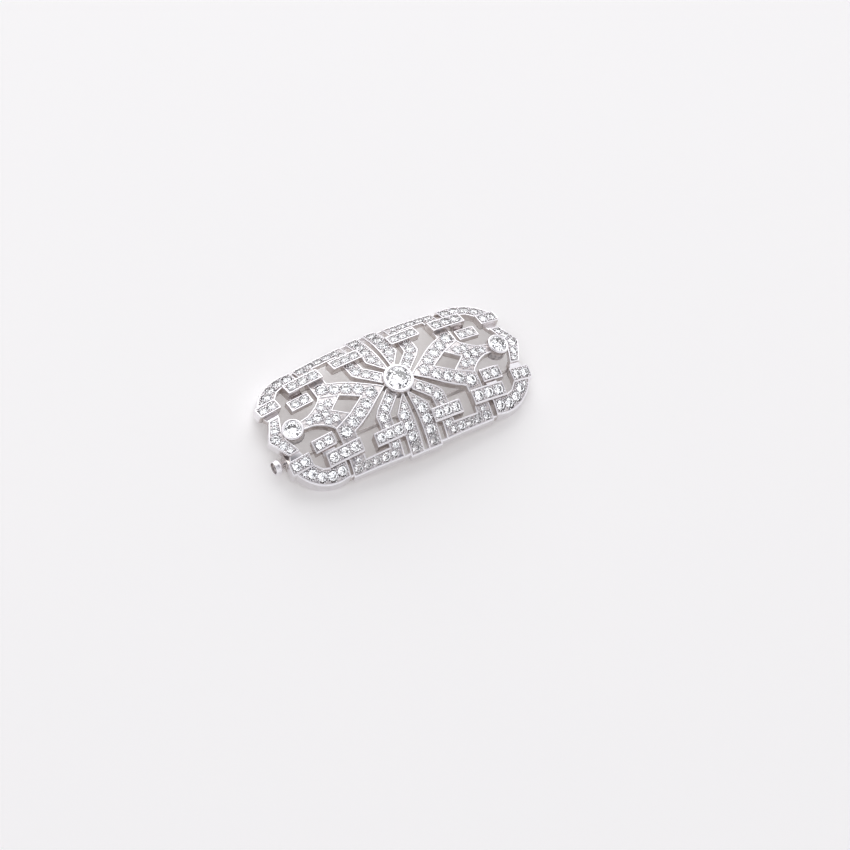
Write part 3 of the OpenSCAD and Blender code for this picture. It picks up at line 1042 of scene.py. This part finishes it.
@dataclass(frozen=True)
class Stones:
    """All cut stones: the pavé in two pieces and three main stones."""

    pave: Material
    clear: Material
    cut: Cut = Cut()
    sink: float = 0.05
    main_sink: float = 0.12
    main_turn: float = 0.2
    sharp: float = 1.0

    def set_in(self, casting: Casting, x: float, y: float, d: float, rise: float, turn: float) -> None:
        """Adds one stone, square to the front.

        Args:
            casting: The piece that it is part of.
            x: Place along the plaque.
            y: Place across it.
            d: Diameter.
            rise: Height of its girdle over the dome.
            turn: Angle by which it is turned in its seat.
        """
        points, faces = self.cut.stone()
        c, s = math.cos(turn), math.sin(turn)
        spin = np.array([[c, -s, 0.0], [s, c, 0.0], [0.0, 0.0, 1.0]])
        centre, axes = DOME.seat(x, y, rise)
        casting.add((points * d) @ spin.T @ axes.T + centre, faces)

    def build(self) -> None:
        """Builds every stone, turned by chance in the pavé."""
        draw = np.random.default_rng(SEED)
        for side, node in ((-1, "left_pave"), (1, "right_pave")):
            casting = Casting()
            for x, y, d, rise in quarter_stones():
                for half in (1, -1) if y else (1,):
                    self.set_in(casting, side * x, half * y, d, rise - self.sink, draw.uniform(0, math.pi))
            carry(casting.make(node + "_cut", self.pave, self.sharp), "pave", node)
        for cup in COLLETS:
            casting = Casting()
            self.set_in(casting, cup.x, 0.0, cup.stone_d, cup.rise - self.main_sink, self.main_turn + cup.x)
            carry(casting.make(cup.node + "_cut", self.clear, self.sharp), "brilliant", cup.node)


@dataclass(frozen=True)
class PinAndCatch:
    """The pin on its hinge, and the tube that slides over its point."""

    drawn: Material
    cast: Material
    wire_r: float = 0.35
    wire_start: float = 0.55
    eye_r: float = 0.85
    eye_hole_r: float = 0.35
    eye_w: float = 0.7
    eye_bevel: float = 0.06
    knob_x: float = 22.7
    knob_t: float = 1.5
    knob_r: float = 1.27
    dish_share: float = 0.75
    dish_d: float = 0.5

    def pin(self) -> None:
        """Builds the pin: an eye, a wire and a long ground point."""
        casting = Casting()
        r, half, hole, edge = self.eye_r, self.eye_w / 2, self.eye_hole_r, self.eye_bevel
        side = [(r, half - edge, 0.2), (r - edge, half, 0.2), (hole, half, 0.2)]
        casting.turn(both_ways(side), 40, True, ROUND_RIVET, PIN.at(PIN.hinge_x))
        start = self.wire_start - PIN.hinge_x
        wire = [(0.3, start), (self.wire_r, start + 0.35), (self.wire_r, 18.2), (0.3, 19.0), (0.2, 20.2),
                (0.09, 21.05), (0.03, 21.18)]
        casting.turn(np.array([(*row, 0.1) for row in wire]), 28, False, ROUND_PIN, PIN.at())
        carry(casting.make("pin", self.drawn), "pin_silver", "pin_stem")

    def catch(self) -> None:
        """Builds the catch: a tube with a collar, and a barrel-shaped knob with a hollow end.

        The barrel's rows are (R cos a, e - h + h sin a), with R its radius, e its end and h half its length.
        """
        a = np.radians(np.arange(-54.0, 19.0, 6.0))
        end, half, dish_r = self.knob_x + self.knob_t, self.knob_t / 2, self.dish_share * self.knob_r
        sleeve = [(0.44, 19.6), (0.66, 19.6), (0.72, 19.66), (0.72, 21.9), (0.86, 21.96), (0.86, 22.2),
                  (0.72, 22.26), (0.72, 22.75)]
        barrel = np.column_stack([self.knob_r * np.cos(a), end - half + half * np.sin(a), 0 * a + 0.05])
        # The hollow's depth masks paint shade inside it.
        lip = np.array([(0.22, -0.25, 0.0), (0.18, -0.08, 0.0), (0.1, -0.01, 0.0), (0.04, 0.0, 0.1),
                        (-0.01, -0.04, 0.9), (-0.03, -0.12, 1.0), (-0.05, 0.04 - self.dish_d, 1.0),
                        (-0.12, -self.dish_d, 0.9), (0.3 - dish_r, 0.06 - self.dish_d, 0.3)])
        rows = np.vstack([[(*row, 0.3) for row in sleeve], barrel, lip + [dish_r, end, 0.0]])
        casting = Casting()
        casting.turn(rows, 48, False, ROUND_PIN, PIN.at())
        carry(casting.make("catch", self.cast), "silver", "catch_tube")


# The studio


@dataclass(frozen=True)
class Patch:
    """A soft round patch of the room: its direction, where it starts and is full in degrees, its colour."""

    way: Triple
    outer: float
    inner: float
    colour: Triple

    def over(self, s: Sockets, ways: Socket, under: object) -> Socket:
        """Lays the patch over a colour, with a soft step of the cosine of the angle from its middle.

        Args:
            s: The world's nodes.
            ways: Directions of the world.
            under: The colour below, a socket or three numbers.

        Returns:
            The mixed colour.
        """
        toward = s.node("VectorMath", {0: ways, 1: self.way}, operation="DOT_PRODUCT")
        start, end = (math.cos(math.radians(angle)) for angle in (self.outer, self.inner))
        return s.mix(s.smooth(toward.outputs["Value"], start, end), under, self.colour)


# What metal, stones and floor see of the room: an opening round the camera, cards and a bank of light.
OPENING = (-0.371, -0.357, 0.857)
METAL_SEES = (Patch(OPENING, 34.0, 14.0, (0.2, 0.195, 0.21)),
              Patch((0.25, -0.62, 0.744), 40.0, 14.0, (0.7, 0.69, 0.72)),
              Patch((0.371, 0.357, 0.857), 16.0, 6.0, (1.2, 1.2, 1.22)))
STONES_SEE = (Patch(OPENING, 20.0, 8.0, (0.02, 0.02, 0.03)),)
FLOOR_SEES = (Patch(OPENING, 45.0, 15.0, (1.1, 1.09, 1.1)),
              Patch((0.472, 0.826, 0.309), 40.0, 10.0, (2.6, 2.6, 2.65)))
WALLS = [(0.0, (0.82, 0.81, 0.835)), (0.5, (0.99, 0.975, 1.0))]
SPARKS = [(0.43, (0.0, 0.0, 0.01)), (0.46, (0.02, 0.03, 0.07)), (0.478, (1.28, 1.21, 1.23)),
          (0.54, (2.35, 2.4, 2.5))]


@dataclass(frozen=True)
class Studio:
    """Floor, light and camera."""

    px_per_mm: float = 6.2
    crest_px: Pair = (398.0, 379.85)
    frame_px: float = 850.0
    distance: float = 3000.0
    sensor: float = 36.0
    right: Triple = (0.857, -0.487, 0.168)
    up: Triple = (0.357, 0.797, 0.486)
    key_way: Triple = (0.3, 1.0, 0.75)
    key_far: float = 1.0
    key_size: float = 1.1
    key_power: float = 4.3
    even: Triple = (0.11, 0.11, 0.113)
    spark_scale: float = 6.5
    floor_r: float = 4000.0
    floor_tones: tuple[Triple, Triple] = ((0.865, 0.868, 0.885), (0.88, 0.882, 0.895))
    floor_grain: float = 18.0
    glow: float = 0.225
    glow_tones: tuple[Triple, Triple] = ((1.0, 0.95, 0.93), (1.55, 1.49, 1.46))
    glow_half: Pair = (0.022, 0.0055)
    glow_shift: Pair = (-0.1, -1.2)
    glow_edge: Pair = (1.15, 0.6)

    def camera(self) -> None:
        """Long lens that shows the plaque as large and as far off the middle as it is in the photograph."""
        r = unit(np.array(self.right))
        back = unit(np.cross(r, np.array(self.up)))
        u = np.cross(back, r)
        dx, dy = (np.array(self.crest_px) - self.frame_px / 2) / self.px_per_mm
        data = bpy.data.cameras.new("camera")
        data.sensor_width = self.sensor
        data.lens = self.sensor * self.distance / (self.frame_px / self.px_per_mm)
        data.clip_start, data.clip_end = 0.01, 20.0
        matrix = np.eye(4)
        matrix[:3, :3] = np.stack([r, u, back], axis=1)
        matrix[:3, 3] = (DOME.on_front(np.zeros(2)) - dx * r + dy * u + self.distance * back) * MM
        bpy.context.scene.camera = placed("camera", data, matrix)

    def floor(self) -> None:
        """A wide pale floor that glows faintly and warmly, a painted light that lifts its shade, and glows
        more in a soft oval of painted light under the far half.
        """
        # Painted light: a warm glow lightens the floor's shade everywhere, and a brighter oval under the
        # brooch's far half lightens the floor seen through the gaps there.
        made, s, shader = new_finish("pale_floor", {"Roughness": 0.6, "Specular IOR Level": 0.2,
                                                    "Emission Strength": self.glow})
        place = s.node("TexCoord").outputs["Object"]
        long, wide = self.glow_half
        feeds = {0: place, 1: (1 / long, 1 / wide, 0.0), 2: (*self.glow_shift, 0.0)}
        scaled = s.node("VectorMath", feeds, operation="MULTIPLY_ADD")
        away = s.node("VectorMath", {0: scaled.outputs["Vector"]}, operation="LENGTH")
        lit = s.smooth(away.outputs["Value"], *self.glow_edge)
        grain = s.noise(place, self.floor_grain, 2.0)
        s.feed(shader, {"Emission Color": s.mix(lit, *self.glow_tones),
                        "Base Color": s.mix(grain, *self.floor_tones)})
        casting, ring = Casting(), circle(64)
        casting.add(np.column_stack([self.floor_r * ring, np.zeros(64)]), [np.arange(64)[None]])
        floor = casting.make("floor", made)

    def key(self) -> None:
        """The key light, a square soft box."""
        data = bpy.data.lights.new("key", "AREA")
        data.shape, data.size, data.energy = "SQUARE", self.key_size, self.key_power
        place = Vector(self.key_way).normalized() * self.key_far
        turn = place.to_track_quat("Z", "Y").to_matrix().to_4x4()
        placed("key", data, Matrix.Translation(place) @ turn)

    def room(self) -> None:
        """The room round the brooch, which metal, stones and floor each see in their own way.

        Mirror rays see pale walls with cards, rays through the stones see dark and bright shapes, which give
        the cut its sparks, and the floor's soft rays see an even room with a bank of light.
        """
        world = bpy.data.worlds.new("room")
        bpy.context.scene.world = world
        world.use_nodes = True
        s = Sockets(world.node_tree)
        ways = s.node("TexCoord").outputs["Generated"]
        split = s.node("SeparateXYZ", {"Vector": ways})
        seen = []
        for tone, patches in ((s.ramp(split.outputs["Z"], WALLS), METAL_SEES),
                              (s.ramp(s.noise(ways, self.spark_scale, 1.0), SPARKS), STONES_SEE),
                              (self.even, FLOOR_SEES)):
            for patch in patches:
                tone = patch.over(s, ways, tone)
            seen.append(tone)
        path = s.node("LightPath")
        room = s.mix(path.outputs["Is Transmission Ray"], seen[0], seen[1])
        room = s.mix(path.outputs["Is Diffuse Ray"], room, seen[2])
        s.feed(world.node_tree.nodes["Background"], {"Color": room, "Strength": 1.0})

    def build(self) -> None:
        """Builds the studio, shown in plain tones."""
        self.camera()
        self.floor()
        self.key()
        self.room()
        bpy.context.scene.view_settings.view_transform = "Standard"


def main() -> None:
    """Builds the brooch and its studio in order."""
    logging.basicConfig(level=logging.INFO, format="%(message)s")
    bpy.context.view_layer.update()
    wear_and_shade, tint = HandWorkAndShade().group(), tint_group()
    silver = Silver("rhodium_silver").material(wear_and_shade)
    drawn = Silver("drawn_silver", bright=(0.95, 0.93, 0.92), recess_shade_share=0.1, roughness=0.31).material(wear_and_shade)
    Studio().build()
    Openwork(silver).build()
    Beads(silver).build()
    Stones(Brilliant("pave_stone").material(tint), Brilliant("main_stone").material(tint)).build()
    fastening = PinAndCatch(drawn, silver)
    fastening.pin()
    fastening.catch()
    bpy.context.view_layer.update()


if __name__ == "__main__":
    main()
